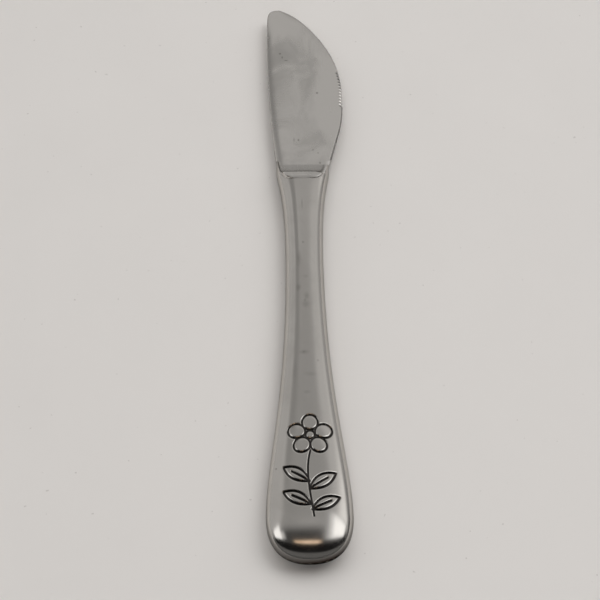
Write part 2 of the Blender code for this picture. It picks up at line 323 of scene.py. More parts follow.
def spot(tree, place, centre, size):
    """Soft oval spot, 1 in its middle; centre and half sizes in mm, from the butt on the handle's axis."""
    x, y = centre
    inputs = {"Vector": place, "Location": (AXIS_X + x / 1000, y / 1000 - LENGTH / 2, 0)}
    inputs["Scale"] = (size[0] / 1000, size[1] / 1000, 1)
    lie = node(tree, "Mapping", inputs, vector_type="TEXTURE").outputs[0]
    flat = node(tree, "VectorMath", {0: lie, 1: (1, 1, 0)}, operation="MULTIPLY").outputs[0]
    far = node(tree, "VectorMath", {0: flat}, operation="LENGTH").outputs["Value"]
    return ramp(tree, far, 0.0, 1.0, 1.0, 0.0)


PATCH_SCALE = (110, 80, 110)
PATCH_TURN = 0.4
PATCH_WARP = 0.8


def handling_film(tree, place, stains):
    """Patchy film left by hands, thicker or thinner in the stains."""
    patches = noise(tree, place, PATCH_SCALE, detail=4.0, turn=PATCH_TURN, warp=PATCH_WARP)
    for centre, size, strength in stains:
        patches = maths(tree, "MULTIPLY_ADD", spot(tree, place, centre, size), strength, patches)
    return patches


HAIR_SCALE = (2600, 45, 300)
HAIR_TURN = 0.18
HAIR_RANGE = (0.66, 0.72)
CROSS_SCALE = (2200, 60, 300)
CROSS_TURN = -0.62
CROSS_RANGE = (0.69, 0.75)


def hair_scratches(tree, place):
    """Two sets of fine scratches that cross each other."""
    hair = ramp(tree, noise(tree, place, HAIR_SCALE, detail=2.0, turn=HAIR_TURN), *HAIR_RANGE)
    cross = ramp(tree, noise(tree, place, CROSS_SCALE, detail=2.0, turn=CROSS_TURN), *CROSS_RANGE)
    return maths(tree, "MAXIMUM", hair, cross)


PIT_SCALE = (1300, 1300, 1300)
PIT_RANGE = (0.78, 0.82)
PIT_STRENGTH = 0.4
MARK_STRENGTH = 0.6
MARK_BROWN = (0.10, 0.085, 0.07, 1)


def dark_marks(tree, place, marks, colour):
    """Darkens tiny pits all over, and the larger marks."""
    dark = ramp(tree, noise(tree, place, PIT_SCALE, detail=1.0), *PIT_RANGE, 0.0, PIT_STRENGTH)
    for centre, size, strength in marks:
        mark = maths(tree, "MULTIPLY", spot(tree, place, centre, size), strength)
        dark = maths(tree, "MAXIMUM", dark, mark)
    return blend_colour(tree, maths(tree, "MULTIPLY", dark, MARK_STRENGTH), colour, MARK_BROWN)


# painted shade at the butt: a duller grey along the seam, and a dark brown with a darker gleam under the
# nose
SEAM_SHADE = 0.85
SEAM_SHADE_Z = (0.0011, 0.0019)
SEAM_SHADE_Y = (-0.064, -0.086)
SEAM_SHADE_GREY = (0.10, 0.095, 0.09, 1)
UNDER_SHADE_Z = (MID_HEIGHT + 0.0017, MID_HEIGHT + 0.0004)
UNDER_SHADE_CENTRE = (2.5, 0.0)
UNDER_SHADE_SIZE = (12.0, 6.0)
UNDER_SHADE_BROWN = (0.06, 0.05, 0.045, 1)
CLEAN_TINT = (0.5, 0.5, 0.5, 1)
UNDER_SHADE_TINT = (0.02, 0.02, 0.02, 1)


def butt_painted_shade(tree, place, colour):
    """Painted shade on the steel along the seam at the butt and under its nose, with a darker tint of its
    gleam there.
    """
    way = node(tree, "SeparateXYZ", {"Vector": place}).outputs
    off_seam = maths(tree, "ABSOLUTE", maths(tree, "SUBTRACT", way["Z"], MID_HEIGHT))
    near_seam = ramp(tree, off_seam, *SEAM_SHADE_Z, 1.0, 0.0)
    near_butt = ramp(tree, way["Y"], *SEAM_SHADE_Y, 0.0, SEAM_SHADE)
    colour = blend_colour(tree, maths(tree, "MULTIPLY", near_seam, near_butt), colour, SEAM_SHADE_GREY)
    under_shade = ramp(tree, way["Z"], *UNDER_SHADE_Z)
    under_shade = maths(tree, "MULTIPLY", under_shade, spot(tree, place, UNDER_SHADE_CENTRE, UNDER_SHADE_SIZE))
    tint = blend_colour(tree, under_shade, CLEAN_TINT, UNDER_SHADE_TINT)
    return blend_colour(tree, under_shade, colour, UNDER_SHADE_BROWN), tint


FILM_RANGE = (0.35, 0.85)
# dark for dirt and painted shade where the mesh's layer is above zero; a painted highlight below zero
DIRT_AND_SHADE_RANGE = (0.05, 0.6)
DIRT_AND_SHADE_DARK = (0.05, 0.047, 0.044, 1)
HIGHLIGHT_RANGE = (-0.1, -0.8)
PAINTED_HIGHLIGHT = (0.92, 0.90, 0.87, 1)
ROUGH_RANGE = (0.3, 0.9)
ROUGH_LESS = 0.03
ROUGH_MORE = 0.09
GRAIN_ROUGH = 0.05
SCRATCH_ROUGH = 0.06
SCRATCH_DEPTH = -0.5
GRAIN_STRENGTH = 0.08
GRAIN_DEPTH = 0.00001


def steel_finish(name, bright, film, roughness, grain_scale, stains, marks):
    """Polished steel with its grinding lines, film of handling, scratches, stains and dark marks.

    Stains and marks each give a centre and half sizes, as a spot does, and a strength. Above zero the mesh's
    layer darkens with dirt and painted shade, below zero it is a painted highlight; the butt gets painted
    shade.
    """
    material = bpy.data.materials.new(name)
    material.use_nodes = True
    tree = material.node_tree
    shader = tree.nodes["Principled BSDF"]
    shader.inputs["Metallic"].default_value = 1
    place = node(tree, "TexCoord").outputs["Object"]
    patches = handling_film(tree, place, stains)
    colour = blend_colour(tree, ramp(tree, patches, *FILM_RANGE), (*bright, 1), (*film, 1))
    colour = dark_marks(tree, place, marks, colour)
    # painted shade along the seam and under the nose of the butt
    colour, tint = butt_painted_shade(tree, place, colour)
    tree.links.new(tint, shader.inputs["Specular Tint"])
    # dirt and painted shade, then the painted highlight, laid on from the mesh's layer
    dirt_shade_highlight = node(tree, "Attribute", attribute_name="dirt_shade_highlight").outputs["Fac"]
    colour = blend_colour(tree, ramp(tree, dirt_shade_highlight, *DIRT_AND_SHADE_RANGE), colour, DIRT_AND_SHADE_DARK)
    colour = blend_colour(tree, ramp(tree, dirt_shade_highlight, *HIGHLIGHT_RANGE), colour, PAINTED_HIGHLIGHT)
    tree.links.new(colour, shader.inputs["Base Color"])
    grain = noise(tree, place, grain_scale)
    scratches = hair_scratches(tree, place)
    rough = ramp(tree, patches, *ROUGH_RANGE, roughness - ROUGH_LESS, roughness + ROUGH_MORE)
    rough = maths(tree, "MULTIPLY_ADD", grain, GRAIN_ROUGH, rough)
    rough = maths(tree, "MULTIPLY_ADD", scratches, SCRATCH_ROUGH, rough)
    tree.links.new(rough, shader.inputs["Roughness"])
    relief = maths(tree, "MULTIPLY_ADD", scratches, SCRATCH_DEPTH, grain)
    bump = node(tree, "Bump", {"Strength": GRAIN_STRENGTH, "Distance": GRAIN_DEPTH, "Height": relief})
    tree.links.new(bump.outputs[0], shader.inputs["Normal"])
    return material


SHARP_ANGLE = math.radians(50)


def finish_piece(name, bm, material, cad_node):
    """Moves a shape into the knife's frame, where it stands for its CAD node."""
    bmesh.ops.translate(bm, verts=bm.verts, vec=(AXIS_X, -LENGTH / 2, MID_HEIGHT))
    mesh = bpy.data.meshes.new(name)
    bm.to_mesh(mesh)
    bm.free()
    mesh.materials.append(material)
    mesh.shade_smooth()
    mesh.set_sharp_from_angle(angle=SHARP_ANGLE)
    piece = bpy.data.objects.new(name, mesh)
    bpy.context.scene.collection.objects.link(piece)
    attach(piece, "root")
    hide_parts(cad_node)


HANDLE_BRIGHT = (0.63, 0.61, 0.58)
HANDLE_FILM = (0.58, 0.56, 0.53)
HANDLE_ROUGH = 0.13
HANDLE_GRAIN = (2400, 110, 2400)
HANDLE_STAINS = [((0.5, 62), (5, 14), 0.12), ((-3, 44), (6, 9), 0.1), ((-1.2, 76), (1.6, 7), 0.16)]
HANDLE_NICKS = [
    ((-7.05, 20.7), (0.28, 0.34), 1.0), ((-0.36, 94.5), (0.1, 2.4), 1.0), ((-0.3, 82.3), (0.25, 0.35), 1.0),
    ((-0.1, 64.9), (0.2, 0.5), 1.0), ((-0.6, 50.2), (0.3, 0.35), 1.0), ((2.56, 48.0), (0.2, 0.3), 1.0),
]
HANDLE_SMEARS = [
    ((-1.35, 77.4), (0.9, 3.4), 0.28), ((-1.6, 68.7), (1.0, 1.6), 0.32), ((0.3, 66.1), (0.9, 1.6), 0.32),
    ((0.0, 63.8), (1.4, 1.6), 0.28), ((0.2, 71.9), (1.0, 0.8), 0.16), ((-0.5, 50.2), (1.7, 0.9), 0.3),
    ((0.9, 44.2), (2.2, 1.0), 0.17), ((-0.1, 39.4), (1.2, 0.7), 0.17), ((-2.9, 45.3), (1.0, 4.0), 0.14),
]
front = shell_mesh(1)
press_sprig(front)
# its finish carries painted shade at the cup joint and the butt besides its wear
handle_steel = steel_finish(
    "handle_steel_wear_and_painted_shade", HANDLE_BRIGHT, HANDLE_FILM, HANDLE_ROUGH, HANDLE_GRAIN, HANDLE_STAINS,
    HANDLE_NICKS + HANDLE_SMEARS
)
finish_piece("front_shell", front, handle_steel, "handle_front_shell")

# Back shell of the handle. The same stamping without the sprig, rubbed flat where the knife lies and
# more scuffed there. It is brazed to the front shell all round.
BACK_BRIGHT = (0.60, 0.585, 0.56)
BACK_FILM = (0.50, 0.49, 0.47)
BACK_ROUGH = 0.20
BACK_STAINS = [((0, 18), (6, 12), 0.3), ((0, 60), (4, 25), 0.15)]
BACK_NICKS = [((2.4, 30), (0.3, 0.5), 1.0), ((-1.8, 51), (0.2, 1.6), 1.0)]
# its finish carries painted shade at the cup joint and the butt besides its wear
back_steel = steel_finish(
    "back_steel_wear_and_painted_shade", BACK_BRIGHT, BACK_FILM, BACK_ROUGH, HANDLE_GRAIN, BACK_STAINS, BACK_NICKS
)
finish_piece("back_shell", shell_mesh(-1), back_steel, "handle_back_shell")

# Seam braze. The thin line of silver braze that joins the two shells, filed flush; it stays the CAD
# solid, with a duller, yellower metal than the steel beside it.
BRAZE_FLOW = (700, 260, 700)
BRAZE_DULL = (0.46, 0.42, 0.34, 1)
BRAZE_BRIGHT = (0.58, 0.55, 0.48, 1)
BRAZE_ROUGH = (0.3, 0.48)
NOISE_RANGE = (0.3, 0.7)
braze = bpy.data.materials.new("braze_filed")
braze.use_nodes = True
braze_tree = braze.node_tree
braze_shader = braze_tree.nodes["Principled BSDF"]
braze_shader.inputs["Metallic"].default_value = 1
braze_place = node(braze_tree, "TexCoord").outputs["Object"]
braze_flow = noise(braze_tree, braze_place, BRAZE_FLOW)
braze_colour = blend_colour(braze_tree, braze_flow, BRAZE_DULL, BRAZE_BRIGHT)
braze_tree.links.new(braze_colour, braze_shader.inputs["Base Color"])
braze_rough = ramp(braze_tree, braze_flow, *NOISE_RANGE, *BRAZE_ROUGH)
braze_tree.links.new(braze_rough, braze_shader.inputs["Roughness"])
for material_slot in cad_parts["seam_braze"].material_slots:
    material_slot.material = braze

# Handle cement. The set mineral filler that was poured round the tang and holds it in the handle. It is
# out of sight behind the bolster, and stays the CAD solid, matt and gritty.
CEMENT_GRIT = (900, 900, 900)
CEMENT_DARK = (0.20, 0.18, 0.15, 1)
CEMENT_PALE = (0.34, 0.31, 0.27, 1)
CEMENT_ROUGH = (0.75, 0.95)
GRIT_STRENGTH = 0.4
GRIT_DEPTH = 0.00005
cement = bpy.data.materials.new("cement_set")
cement.use_nodes = True
cement_tree = cement.node_tree
cement_shader = cement_tree.nodes["Principled BSDF"]
cement_place = node(cement_tree, "TexCoord").outputs["Object"]
cement_grit = noise(cement_tree, cement_place, CEMENT_GRIT, detail=5.0)
cement_colour = blend_colour(cement_tree, cement_grit, CEMENT_DARK, CEMENT_PALE)
cement_tree.links.new(cement_colour, cement_shader.inputs["Base Color"])
cement_rough = ramp(cement_tree, cement_grit, *NOISE_RANGE, *CEMENT_ROUGH)
cement_tree.links.new(cement_rough, cement_shader.inputs["Roughness"])
cement_relief = {"Strength": GRIT_STRENGTH, "Distance": GRIT_DEPTH, "Height": cement_grit}
cement_bump = node(cement_tree, "Bump", cement_relief)
cement_tree.links.new(cement_bump.outputs[0], cement_shader.inputs["Normal"])
for material_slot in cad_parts["handle_cement"].material_slots:
    material_slot.material = cement

# Blade. Forged in one with its bolster and tang, ground thin towards the edge, with a rounded spine and
# a short serrated stretch. The bolster's bar sits in the handle's cup, and a hollow cove runs from it
# down to the blade; the tang is cemented into the handle.
SHOULDER_Y = 0.11125
TIP_Y = 0.16939
BLADE_HALF = 0.0011
TIP_THINNING = 0.45
HEEL_HALF = 0.0009
EDGE_HALF = 0.00042
TIP_EDGE_HALF = 0.00026
FACE_POWER = 1.4
THINNEST = 0.00003
CROWN_WIDTH = 0.0027
CROWN_SHARE = 0.35
CROWN_DROP = 0.5
CROWN_END_Y = (0.158, 0.168)
HEEL_BEVEL = 0.00036
BEVEL_SLOPE = 0.84
FRONT_BEVEL_SLOPE = 0.3
OUTLINE_EASE = 0.00022
KEEN_EASE = 0.5 * OUTLINE_EASE
# painted shade along the edge bevel, and how many bevel or grind widths it reaches in from the edge
EDGE_SHADE = 0.4
SHADE_REACH = 1.5
BAR_HALF = 0.00377
BAR_TOP_Y = 0.1050
BAR_EASE = 0.00015
# painted highlight along the bolster bar's rims and over the cove
BAR_HIGHLIGHT = 0.45
BAR_HIGHLIGHT_WIDTH = 0.0004
COVE_HIGHLIGHT = 0.8
COVE_HIGHLIGHT_Y = (0.1065, 0.1057)
BAR_FALL = 0.0009
BAR_FALL_X = 0.0015
BAR_FOOT = 0.0007
BAR_FOOT_DROP = 0.0001
BAR_CORNER_DROP = 0.00007
BAR_CORNER_X = (-0.0012, -0.0034)
# painted shade along the joint on the spine side, lighter at the foot
SIDE_SHADE = 0.17
FOOT_SHADE = 0.1
SIDE_SHADE_WIDTH = 0.0005
# painted highlight along the edge side of the blade's foot
EDGE_HIGHLIGHT = 0.8
SPINE_BLEND = 0.0005
BAR_BLEND = 0.0006
EDGE_BLEND = 0.0015
HORN_FADE = 0.0012
COVE_END_Y = 0.1098
COVE_BREAK = 0.35
TOOTH_PITCH = 0.00112
TOOTH_DEPTH = 0.00036
TOOTH_FADE = 0.6
TOOTH_COUNT = 12
TOOTH_START_Y = 0.1311
TOOTH_GRIND = 0.0007
TOOTH_SLOPE = 0.42
TOOTH_HOLLOW = 0.00012
# painted shadow on one half of each serration, and a lighter painted shade on the serrations past the sharp
# ones
TOOTH_SHADOW = 1.0
UPPER_TOOTH_SHADE = 0.4
SHARP_TEETH = 6
TOOTH_END_Y = TOOTH_START_Y + TOOTH_COUNT * TOOTH_PITCH
BLADE_COLUMNS = 72
EVEN_COLUMNS = 0.3
CROWDED_COLUMNS = 0.7
BAR_ROWS_Y = (0.1034, 0.1044, 0.1056)
STEP = 0.00002
TIP_ROW_Y = 0.150
TIP_ROWS = 70
TIP_CROWDING = 1.5
TIP_LEFT_Y = 0.1676
TIP_RIGHT_Y = 0.1640
TANG_HALF = (0.0025, 0.0014)
TANG_LENGTH = 0.042
TANG_TAPER = 0.7
END_FACING = -0.99
MIRROR_WELD = 1e-6
LEAST_WIDTH = 1e-6
FOOT_STEPS = 100
SPINE_STEPS = 400
EDGE_STEPS = 500


def outline(points, count):
    """Points along a chain of Bezier stretches given as flat (x, y) tuples in mm."""
    spots = [Vector((x, y, 0)) / 1000 for x, y in points]
    chain = [spots[0]]
    for start in range(0, len(spots) - 1, 3):
        chain += interpolate_bezier(*spots[start:start + 4], count)[1:]
    return chain


SPINE_LINE = outline(
    [(-6.8, 111.3), (-9.07, 132.91), (-9.2, 152.07), (-9.2, 163.3),
     (-9.2, 168.2), (-8.8, 169.39), (-5.5, 169.39)], SPINE_STEPS
)
EDGE_LINE = outline(
    [(7.3, 111.3), (10.16, 123.73), (11.14, 123.95), (11.14, 136.23),
     (11.14, 154.4), (-1.9, 169.39), (-5.5, 169.39)], EDGE_STEPS
)
SPINE_YS = [point.y for point in SPINE_LINE]
EDGE_YS = [point.y for point in EDGE_LINE]


def with_foot(line):
    """The line with a straight run added below it, down past the bolster."""
    start = line[0]
    run = start.y - FOOT_Y
    return [Vector((start.x, FOOT_Y + run * step / FOOT_STEPS, 0)) for step in range(FOOT_STEPS)] + line


SPINE_TREE = point_tree(with_foot(SPINE_LINE))
EDGE_TREE = point_tree(with_foot(EDGE_LINE))


def line_x(line, ys, y):
    """Where an outline stands at a distance from the butt."""
    high = min(len(line) - 1, max(1, bisect.bisect_left(ys, y)))
    low = high - 1
    span = ys[high] - ys[low]
    share = min(1, max(0, (y - ys[low]) / span)) if span > 0 else 1
    return line[low].x + share * (line[high].x - line[low].x)


def tooth_wave(y):
    """1 in the middle of a serration, 0 between two."""
    place = (y - TOOTH_START_Y) / TOOTH_PITCH
    if not 0 < place < TOOTH_COUNT:
        return 0
    off = 2 * (place % 1) - 1
    return (1 - off * off) * (1 - TOOTH_FADE * place / TOOTH_COUNT)


def blade_sides(y):
    """Left and right limit of the forging at a distance from the butt."""
    if y < SHOULDER_Y:
        rise = share_of(y, FOOT_Y, RIM.y)
        out = (1 - (1 - rise) ** LIP_POWER) ** (1 / LIP_POWER)
        half = LIP_FLAT + (LIP_SIDE - LIP_FLAT) * out - FIT_GAP
        if y > EDGE_HORN_Y:
            heel = EDGE_LINE[0].x
            return -half, heel + (MOUTH.x - heel) * share_of(y, SHOULDER_Y, EDGE_HORN_Y)
        return -half, half
    return line_x(SPINE_LINE, SPINE_YS, y), line_x(EDGE_LINE, EDGE_YS, y) - TOOTH_DEPTH * tooth_wave(y)


def ease(distance, radius):
    """Drop of a rounded edge at a distance from it."""
    if distance >= radius:
        return 0
    return radius - math.sqrt(max(0, radius ** 2 - (radius - distance) ** 2))


def plate_height(x, y):
    """Ground face of the blade: rounded at the spine, thin at the edge, hollowed behind each serration."""
    from_spine = SPINE_TREE.find((x, y, 0))[2]
    from_line = EDGE_TREE.find((x, y, 0))[2]
    from_edge = max(0, from_line - TOOTH_DEPTH * tooth_wave(y))
    wide = max(from_spine + from_line, LEAST_WIDTH)
    share = share_of(y, SHOULDER_Y, TIP_Y)
    thick = BLADE_HALF * (1 - TIP_THINNING * share)
    thin = HEEL_HALF + (EDGE_HALF - HEEL_HALF) * share_of(y, SHOULDER_Y, TOOTH_START_Y)
    thin += (TIP_EDGE_HALF - EDGE_HALF) * share_of(y, TOOTH_START_Y, TIP_Y)
    crown = min(CROWN_WIDTH, CROWN_SHARE * wide)
    slope = min(1, max(0, (from_spine - crown) / max(wide - crown, LEAST_WIDTH)))
    height = thick + (thin - thick) * slope ** FACE_POWER
    roll = max(0, 1 - from_spine / max(crown, LEAST_WIDTH))
    height *= 1 - CROWN_DROP * (1 - share_of(y, *CROWN_END_Y)) * roll * roll
    heel = 1 - share_of(y, TOOTH_START_Y - TOOTH_PITCH, TOOTH_START_Y)
    front = share_of(y, TOOTH_END_Y, TOOTH_END_Y + TOOTH_PITCH)
    bevel = BEVEL_SLOPE * heel + FRONT_BEVEL_SLOPE * front
    height -= bevel * max(0, HEEL_BEVEL - from_edge)
    ground = max(0, TOOTH_GRIND - from_edge)
    height -= (TOOTH_SLOPE * (1 - heel) * (1 - front) + TOOTH_HOLLOW / TOOTH_GRIND * tooth_wave(y)) * ground
    return height - ease(from_spine, OUTLINE_EASE) - (1 - heel) * ease(from_edge, KEEN_EASE)


def forging_height(x, y, left, right):
    """Upper side of blade, cove and bolster bar, drawn flush with the handle along both horns."""
    height = plate_height(x, y)
    if y < BAR_TOP_Y:
        height = BAR_HALF - ease(BAR_TOP_Y - y, BAR_EASE)
        height -= BAR_FALL * share_of(x, BAR_FALL_X, LIP_SIDE) ** 2
        drop = BAR_FOOT_DROP + BAR_CORNER_DROP * share_of(x, *BAR_CORNER_X)
        height -= drop * max(0, 1 - (y - FOOT_Y) / BAR_FOOT)
    elif y < COVE_END_Y:
        climb = (COVE_END_Y - y) / (COVE_END_Y - BAR_TOP_Y)
        lift = COVE_BREAK * climb + (1 - COVE_BREAK) * (1 - math.sqrt(max(0, 1 - climb * climb)))
        height += (BAR_HALF - BAR_EASE - height) * lift
    if y < RIM.y and (x < 0 or y < EDGE_HORN_Y):
        row = row_at(y)
        flush = handle_height(min(1, abs(x) / row.x), row)
        edge_blend = BAR_BLEND + (EDGE_BLEND - BAR_BLEND) * share_of(y, BAR_TOP_Y, BAR_TOP_Y + EDGE_BLEND)
        off_horn = (x - left) / SPINE_BLEND if x < 0 else (right - x) / edge_blend
        height += (flush - height) * max(0, 1 - off_horn) ** 2 * share_of(y, RIM.y, RIM.y - HORN_FADE)
    return height


def blade_rows():
    """Distances from the butt up to the tip's rows, closer together at the bar and the serrations."""
    foot_end, body_end, crest_end = BAR_ROWS_Y
    stops = [
        (foot_end, 16), (body_end, 12), (crest_end, 28),
        (EDGE_HORN_Y, 24), (EDGE_HORN_Y + STEP, 1),
        (COVE_END_Y, 4), (RIM.y, 8),
        (SHOULDER_Y - STEP, 1), (SHOULDER_Y, 1),
        (TOOTH_START_Y - TOOTH_PITCH, 44), (TOOTH_END_Y + TOOTH_PITCH, 180),
        (TIP_ROW_Y, 10),
    ]
    rows = [FOOT_Y]
    start = FOOT_Y
    for end, count in stops:
        rows += [start + (end - start) * (step + 1) / count for step in range(count)]
        start = end
    return rows


def tip_curve():
    """Outline round the tip from the spine side to the edge side: shares of its length, and points."""
    spine = [point for point in SPINE_LINE if point.y > TIP_LEFT_Y]
    edge = [point for point in reversed(EDGE_LINE) if point.y > TIP_RIGHT_Y]
    chain = spine + edge[1:]
    lengths = [0]
    for start, end in zip(chain, chain[1:]):
        lengths.append(lengths[-1] + (end - start).length)
    return [length / lengths[-1] for length in lengths], chain


TIP_SHARES, TIP_CHAIN = tip_curve()


def tip_point(place, rise):
    """Point of the tip's sheet, blended between its four sides."""
    high = min(len(TIP_CHAIN) - 1, max(1, bisect.bisect_left(TIP_SHARES, place)))
    part = (place - TIP_SHARES[high - 1]) / (TIP_SHARES[high] - TIP_SHARES[high - 1])
    top = TIP_CHAIN[high - 1].lerp(TIP_CHAIN[high], part)
    low_left = Vector((line_x(SPINE_LINE, SPINE_YS, TIP_ROW_Y), TIP_ROW_Y, 0))
    low_right = Vector((line_x(EDGE_LINE, EDGE_YS, TIP_ROW_Y), TIP_ROW_Y, 0))
    left_y = TIP_ROW_Y + (TIP_CHAIN[0].y - TIP_ROW_Y) * rise
    right_y = TIP_ROW_Y + (TIP_CHAIN[-1].y - TIP_ROW_Y) * rise
    left = Vector((line_x(SPINE_LINE, SPINE_YS, left_y), left_y, 0))
    right = Vector((line_x(EDGE_LINE, EDGE_YS, right_y), right_y, 0))
    sides = left.lerp(right, place) + low_left.lerp(low_right, place).lerp(top, rise)
    corners = low_left.lerp(low_right, place).lerp(TIP_CHAIN[0].lerp(TIP_CHAIN[-1], place), rise)
    return sides - corners


def mark_shade_and_highlights(bm):
    """Keeps painted shade in the spine-side joint, along the edge bevel and on the serrations, and painted
    highlights on the bar, cove and edge side, for the finish.
    """
    dirt_shade_highlight = bm.verts.layers.float.new("dirt_shade_highlight")
    for vert in bm.verts:
        x, y, _ = vert.co
        left, right = blade_sides(y)
        # painted highlight along the rims of the bolster bar
        if y < BAR_TOP_Y:
            rim = min(BAR_TOP_Y - y, y - FOOT_Y - BAR_FOOT, x - left - SPINE_BLEND)
            vert[dirt_shade_highlight] = -BAR_HIGHLIGHT * max(0, 1 - abs(rim) / BAR_HIGHLIGHT_WIDTH)
        # painted highlight over the cove
        elif y < COVE_END_Y:
            vert[dirt_shade_highlight] = -COVE_HIGHLIGHT * share_of(y, *COVE_HIGHLIGHT_Y)
        # painted shade along the edge bevel and painted shadows on the serrations
        elif SHOULDER_Y < y < TOOTH_END_Y:
            from_edge = EDGE_TREE.find((x, y, 0))[2]
            tooth = (y - TOOTH_START_Y) / TOOTH_PITCH
            edge_shade, reach = EDGE_SHADE, HEEL_BEVEL
            if tooth > 0:
                reach = TOOTH_GRIND
                edge_shade = UPPER_TOOTH_SHADE if tooth > SHARP_TEETH else 0
                if tooth % 1 < 0.5:
                    edge_shade = TOOTH_SHADOW
            vert[dirt_shade_highlight] = edge_shade * max(0, 1 - from_edge / (SHADE_REACH * reach))
        # painted shade along the joint on the spine side
        if y < RIM.y:
            most = FOOT_SHADE + (SIDE_SHADE - FOOT_SHADE) * share_of(y, FOOT_Y, BAR_TOP_Y)
            joint_shade = most * (1 - (x - left) / SIDE_SHADE_WIDTH)
            if joint_shade > 0:
                vert[dirt_shade_highlight] = joint_shade
            # painted highlight along the edge side
            elif y > BAR_TOP_Y:
                vert[dirt_shade_highlight] = min(vert[dirt_shade_highlight], -EDGE_HIGHLIGHT * max(0, 1 - (right - x) / EDGE_BLEND))


def draw_tang(bm):
    """Draws the tang out of the bolster's end face, stepped in and then tapered."""
    foot = [
        face for face in bm.faces
        if face.normal.y < END_FACING and face.calc_center_median().y < FOOT_Y + MIRROR_WELD
    ]
    root = (TANG_HALF[0] / LIP_FLAT, 1, TANG_HALF[1] / BAR_HALF)
    for size, drawn in ((root, 0), ((TANG_TAPER, 1, TANG_TAPER), TANG_LENGTH)):
        grown = bmesh.ops.extrude_face_region(bm, geom=foot)["geom"]
        bmesh.ops.delete(bm, geom=foot, context="FACES")
        foot = [item for item in grown if isinstance(item, bmesh.types.BMFace)]
        corners = [item for item in grown if isinstance(item, bmesh.types.BMVert)]
        bmesh.ops.scale(bm, vec=size, verts=corners)
        bmesh.ops.translate(bm, vec=(0, -drawn, 0), verts=corners)


def blade_mesh():
    """Upper side as a warped sheet, walled down to the middle, mirrored, with the tang drawn out."""
    rows = blade_rows()
    straight = len(rows) - 1
    last = straight + TIP_ROWS
    bm = bmesh.new()
    bmesh.ops.create_grid(bm, x_segments=BLADE_COLUMNS, y_segments=last, size=0.5)
    for vert in bm.verts:
        row = round((vert.co.y + 0.5) * last)
        place = vert.co.x + 0.5
        place = EVEN_COLUMNS * place + CROWDED_COLUMNS * (0.5 - 0.5 * math.cos(math.pi * place))
        left, right = blade_sides(rows[min(row, straight)])
        if row <= straight:
            x, y = left + (right - left) * place, rows[row]
        else:
            x, y, _ = tip_point(place, 1 - (1 - (row - straight) / TIP_ROWS) ** TIP_CROWDING)
        vert.co = (x, y, max(THINNEST, forging_height(x, y, left, right)))
    mark_shade_and_highlights(bm)
    bmesh.ops.remove_doubles(bm, verts=bm.verts, dist=WELD)
    rim = [edge for edge in bm.edges if edge.is_boundary]
    wall = bmesh.ops.extrude_edge_only(bm, edges=rim)["geom"]
    for vert in [item for item in wall if isinstance(item, bmesh.types.BMVert)]:
        vert.co.z = 0
    bmesh.ops.mirror(bm, geom=bm.verts[:] + bm.edges[:] + bm.faces[:], axis="Z", merge_dist=MIRROR_WELD)
    bmesh.ops.recalc_face_normals(bm, faces=bm.faces)
    draw_tang(bm)
    bmesh.ops.recalc_face_normals(bm, faces=bm.faces)
    return bm


BLADE_BRIGHT = (0.70, 0.68, 0.65)
BLADE_FILM = (0.57, 0.555, 0.53)
BLADE_ROUGH = 0.22
BLADE_GRAIN = (130, 2600, 2600)
BLADE_STAINS = [
    ((-4.5, 150.5), (14, 9.0), 0.22), ((-6.5, 140), (5, 20), 0.16), ((9.0, 132), (8, 20), -0.4),
    ((-4.0, 164), (8, 7), -0.3), ((3.0, 143), (7, 8), 0.1),
]
BLADE_NICKS = [
    ((4.53, 110.34), (0.34, 0.5), 1.0), ((2.81, 114.9), (0.3, 0.4), 1.0), ((4.09, 113.83), (0.24, 0.4), 1.0),
    ((-2.09, 118.52), (0.16, 1.0), 1.0), ((-5.6, 151.3), (0.5, 0.5), 1.0), ((-5.0, 149.8), (0.3, 0.7), 1.0),
    ((-3.95, 148.6), (0.8, 0.3), 1.0), ((4.32, 136.0), (0.5, 0.6), 1.0), ((-0.9, 118.4), (0.35, 0.6), 1.0),
]
# its finish carries painted shade and painted highlights besides its wear
blade_steel = steel_finish(
    "blade_steel_wear_and_painted_light", BLADE_BRIGHT, BLADE_FILM, BLADE_ROUGH, BLADE_GRAIN, BLADE_STAINS, BLADE_NICKS
)
finish_piece("blade_forging", blade_mesh(), blade_steel, "blade")

# Table. The pale, faintly clouded and specked top that the knife lies on, a matt laminate. It is part of
# the stage, a flat sheet at height zero, wide enough to fill the camera's view.
TABLE_HALF = 1.5
TABLE_GREY = (0.80, 0.775, 0.75, 1)
TABLE_PALE = (0.84, 0.815, 0.79, 1)
TABLE_ROUGH = (0.5, 0.62)
CLOUD_SCALE = (38, 30, 38)
SPECK_SCALE = (700, 700, 700)
SPECK_RANGE = (0.765, 0.79)
SPECK_BROWN = (0.3, 0.27, 0.24, 1)
SPECK_STRENGTH = 0.3
bm = bmesh.new()
bmesh.ops.create_grid(bm, x_segments=2, y_segments=2, size=TABLE_HALF)
mesh = bpy.data.meshes.new("table")
bm.to_mesh(mesh)
bm.free()
table = bpy.data.objects.new("table", mesh)
table_top = bpy.data.materials.new("table_top")
table_top.use_nodes = True
table_tree = table_top.node_tree
table_shader = table_tree.nodes["Principled BSDF"]
table_place = node(table_tree, "TexCoord").outputs["Object"]
table_cloud = noise(table_tree, table_place, CLOUD_SCALE, detail=4.0)
table_colour = blend_colour(table_tree, table_cloud, TABLE_GREY, TABLE_PALE)
table_speck = ramp(table_tree, noise(table_tree, table_place, SPECK_SCALE, detail=1.0), *SPECK_RANGE)
table_speck = maths(table_tree, "MULTIPLY", table_speck, SPECK_STRENGTH)
table_colour = blend_colour(table_tree, table_speck, table_colour, SPECK_BROWN)
table_tree.links.new(table_colour, table_shader.inputs["Base Color"])
table_rough = ramp(table_tree, table_cloud, *NOISE_RANGE, *TABLE_ROUGH)
